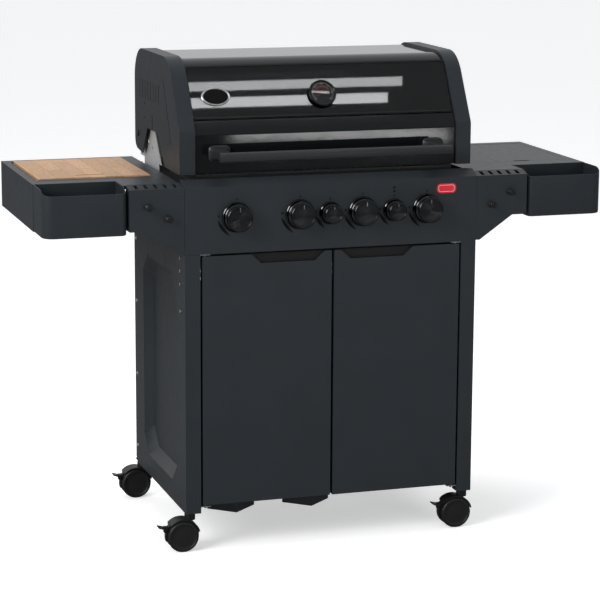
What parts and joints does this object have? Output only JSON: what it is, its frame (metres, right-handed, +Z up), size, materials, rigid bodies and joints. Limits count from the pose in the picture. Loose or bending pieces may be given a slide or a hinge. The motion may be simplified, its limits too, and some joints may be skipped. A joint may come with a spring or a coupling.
{
  "type": "gas barbecue grill",
  "caption": "Gas barbecue grill on casters with a hinged windowed lid, double-door cabinet, control panel, and side shelves holding a cutting board and a covered side burner.",
  "frame": {"origin": "on the ground, below the middle of the whole grill", "axes": "+X to the right along the shelves, seen from the front; +Y to the back; +Z up"},
  "size_m": [1.392, 0.561, 1.165],
  "materials": {
    "powder_coat": "satin",
    "gloss_enamel": "gloss",
    "window_glass": "gloss",
    "satin_handle": "satin",
    "galvanised_steel": "satin",
    "bright_steel": "satin",
    "valve_brass": "satin",
    "cookbox_enamel": "satin",
    "cast_iron": "matte",
    "beech_board": "oiled",
    "knob_metal": "gloss",
    "bright_chrome": "gloss",
    "valve_steel": "satin",
    "caster_black": "matte",
    "caster_tread": "satin"
  },
  "bodies": {
    "cart": {"side_panel_left": "powder_coat", "side_panel_right": "powder_coat", "back_panel": "powder_coat", "floor_pan": "powder_coat", "base_rails": "powder_coat", "tray_rails": "powder_coat", "control_panel": "powder_coat", "shelf_left": "powder_coat", "shelf_right": "powder_coat", "shelf_bin_left": "powder_coat", "shelf_bin_right": "powder_coat", "shelf_brackets": "powder_coat", "hinge_plates": "galvanised_steel", "firebox_brackets": "galvanised_steel", "cabinet_fittings": "bright_steel", "hinge_pins": "bright_steel", "burners": "bright_steel", "heat_tents": "bright_steel", "warming_rack": "bright_steel", "caster_stems": "bright_steel", "gas_manifold": "valve_brass", "firebox": "cookbox_enamel", "cooking_grates": "cast_iron", "side_burner": "cast_iron", "knob_bezels": "bright_chrome"},
    "lid": {"lid_shell": "gloss_enamel", "lid_cap_left": "powder_coat", "lid_cap_right": "powder_coat", "lid_window": "window_glass", "lid_handle": "satin_handle", "thermometer": "bright_chrome"},
    "door_left": {"door_left": "powder_coat"},
    "door_right": {"door_right": "powder_coat"},
    "burner_cover": {"side_burner_cover": "powder_coat"},
    "drip_tray": {"grease_tray": "galvanised_steel"},
    "board": {"cutting_board": "beech_board"},
    "stem_1": {"valve_stem_1": "valve_steel"},
    "knob_1": {"knob_1": "knob_metal"},
    "stem_2": {"valve_stem_2": "valve_steel"},
    "knob_2": {"knob_2": "knob_metal"},
    "stem_3": {"valve_stem_3": "valve_steel"},
    "knob_3": {"knob_3": "knob_metal"},
    "stem_4": {"valve_stem_4": "valve_steel"},
    "knob_4": {"knob_4": "knob_metal"},
    "stem_5": {"valve_stem_5": "valve_steel"},
    "knob_5": {"knob_5": "knob_metal"},
    "stem_6": {"valve_stem_6": "valve_steel"},
    "knob_6": {"knob_6": "knob_metal"},
    "caster_1": {"caster_housing_1": "caster_black"},
    "wheel_1": {"caster_wheel_1": "caster_tread"},
    "brake_1": {"caster_pedal_1": "caster_black"},
    "caster_2": {"caster_housing_2": "caster_black"},
    "wheel_2": {"caster_wheel_2": "caster_tread"},
    "brake_2": {"caster_pedal_2": "caster_black"},
    "caster_3": {"caster_housing_3": "caster_black"},
    "wheel_3": {"caster_wheel_3": "caster_tread"},
    "brake_3": {"caster_pedal_3": "caster_black"},
    "caster_4": {"caster_housing_4": "caster_black"},
    "wheel_4": {"caster_wheel_4": "caster_tread"},
    "brake_4": {"caster_pedal_4": "caster_black"}
  },
  "joints": [
    {"name": "lid_hinge", "type": "hinge", "parent": "cart", "child": "lid", "pos_m": [0, 0.2085, 0.952], "axis": [-1, 0, 0], "range_deg": [0, 85]},
    {"name": "door_left_hinge", "type": "hinge", "parent": "cart", "child": "door_left", "pos_m": [-0.313, -0.2325, 0.4], "axis": [0, 0, -1], "range_deg": [0, 110]},
    {"name": "door_right_hinge", "type": "hinge", "parent": "cart", "child": "door_right", "pos_m": [0.313, -0.2325, 0.4], "axis": [0, 0, 1], "range_deg": [0, 110]},
    {"name": "burner_cover_hinge", "type": "hinge", "parent": "cart", "child": "burner_cover", "pos_m": [0.538, 0.2325, 0.876], "axis": [-1, 0, 0], "range_deg": [0, 95]},
    {"name": "tray_slide", "type": "slide", "parent": "cart", "child": "drip_tray", "axis": [0, 1, 0], "range_m": [0, 0.3]},
    {"name": "board_lift", "type": "slide", "parent": "cart", "child": "board", "axis": [0, 0, 1], "range_m": [0, 0.06]},
    {"name": "knob_1_push", "type": "slide", "parent": "cart", "child": "stem_1", "axis": [0, 1, 0], "range_m": [0, 0.003], "stiffness_N_per_m": 1500},
    {"name": "knob_1_turn", "type": "hinge", "parent": "stem_1", "child": "knob_1", "pos_m": [-0.238, -0.2415, 0.805], "axis": [0, -1, 0], "range_deg": [0, 270]},
    {"name": "knob_2_push", "type": "slide", "parent": "cart", "child": "stem_2", "axis": [0, 1, 0], "range_m": [0, 0.003], "stiffness_N_per_m": 1500},
    {"name": "knob_2_turn", "type": "hinge", "parent": "stem_2", "child": "knob_2", "pos_m": [-0.083, -0.2415, 0.805], "axis": [0, -1, 0], "range_deg": [0, 270]},
    {"name": "knob_3_push", "type": "slide", "parent": "cart", "child": "stem_3", "axis": [0, 1, 0], "range_m": [0, 0.003], "stiffness_N_per_m": 1500},
    {"name": "knob_3_turn", "type": "hinge", "parent": "stem_3", "child": "knob_3", "pos_m": [0.073, -0.2415, 0.805], "axis": [0, -1, 0], "range_deg": [0, 270]},
    {"name": "knob_4_push", "type": "slide", "parent": "cart", "child": "stem_4", "axis": [0, 1, 0], "range_m": [0, 0.003], "stiffness_N_per_m": 1500},
    {"name": "knob_4_turn", "type": "hinge", "parent": "stem_4", "child": "knob_4", "pos_m": [0.235, -0.2415, 0.805], "axis": [0, -1, 0], "range_deg": [0, 270]},
    {"name": "knob_5_push", "type": "slide", "parent": "cart", "child": "stem_5", "axis": [0, 1, 0], "range_m": [0, 0.003], "stiffness_N_per_m": 1500},
    {"name": "knob_5_turn", "type": "hinge", "parent": "stem_5", "child": "knob_5", "pos_m": [-0.008, -0.2415, 0.805], "axis": [0, -1, 0], "range_deg": [0, 270]},
    {"name": "knob_6_push", "type": "slide", "parent": "cart", "child": "stem_6", "axis": [0, 1, 0], "range_m": [0, 0.003], "stiffness_N_per_m": 1500},
    {"name": "knob_6_turn", "type": "hinge", "parent": "stem_6", "child": "knob_6", "pos_m": [0.152, -0.2415, 0.805], "axis": [0, -1, 0], "range_deg": [0, 270]},
    {"name": "caster_1_swivel", "type": "hinge", "parent": "cart", "child": "caster_1", "pos_m": [-0.348, -0.2175, 0.08], "axis": [0, 0, 1], "continuous": true},
    {"name": "caster_1_roll", "type": "hinge", "parent": "caster_1", "child": "wheel_1", "pos_m": [-0.368, -0.2175, 0.0375], "axis": [0, 1, 0], "continuous": true},
    {"name": "caster_1_brake", "type": "hinge", "parent": "caster_1", "child": "brake_1", "pos_m": [-0.408, -0.2175, 0.0545], "axis": [0, -1, 0], "range_deg": [0, 15]},
    {"name": "caster_2_swivel", "type": "hinge", "parent": "cart", "child": "caster_2", "pos_m": [0.348, -0.2175, 0.08], "axis": [0, 0, 1], "continuous": true},
    {"name": "caster_2_roll", "type": "hinge", "parent": "caster_2", "child": "wheel_2", "pos_m": [0.328, -0.2175, 0.0375], "axis": [0, 1, 0], "continuous": true},
    {"name": "caster_2_brake", "type": "hinge", "parent": "caster_2", "child": "brake_2", "pos_m": [0.288, -0.2175, 0.0545], "axis": [0, -1, 0], "range_deg": [0, 15]},
    {"name": "caster_3_swivel", "type": "hinge", "parent": "cart", "child": "caster_3", "pos_m": [-0.348, 0.2585, 0.08], "axis": [0, 0, 1], "continuous": true},
    {"name": "caster_3_roll", "type": "hinge", "parent": "caster_3", "child": "wheel_3", "pos_m": [-0.368, 0.2585, 0.0375], "axis": [0, 1, 0], "continuous": true},
    {"name": "caster_3_brake", "type": "hinge", "parent": "caster_3", "child": "brake_3", "pos_m": [-0.408, 0.2585, 0.0545], "axis": [0, -1, 0], "range_deg": [0, 15]},
    {"name": "caster_4_swivel", "type": "hinge", "parent": "cart", "child": "caster_4", "pos_m": [0.348, 0.2585, 0.08], "axis": [0, 0, 1], "continuous": true},
    {"name": "caster_4_roll", "type": "hinge", "parent": "caster_4", "child": "wheel_4", "pos_m": [0.328, 0.2585, 0.0375], "axis": [0, 1, 0], "continuous": true},
    {"name": "caster_4_brake", "type": "hinge", "parent": "caster_4", "child": "brake_4", "pos_m": [0.288, 0.2585, 0.0545], "axis": [0, -1, 0], "range_deg": [0, 15]}
  ]
}
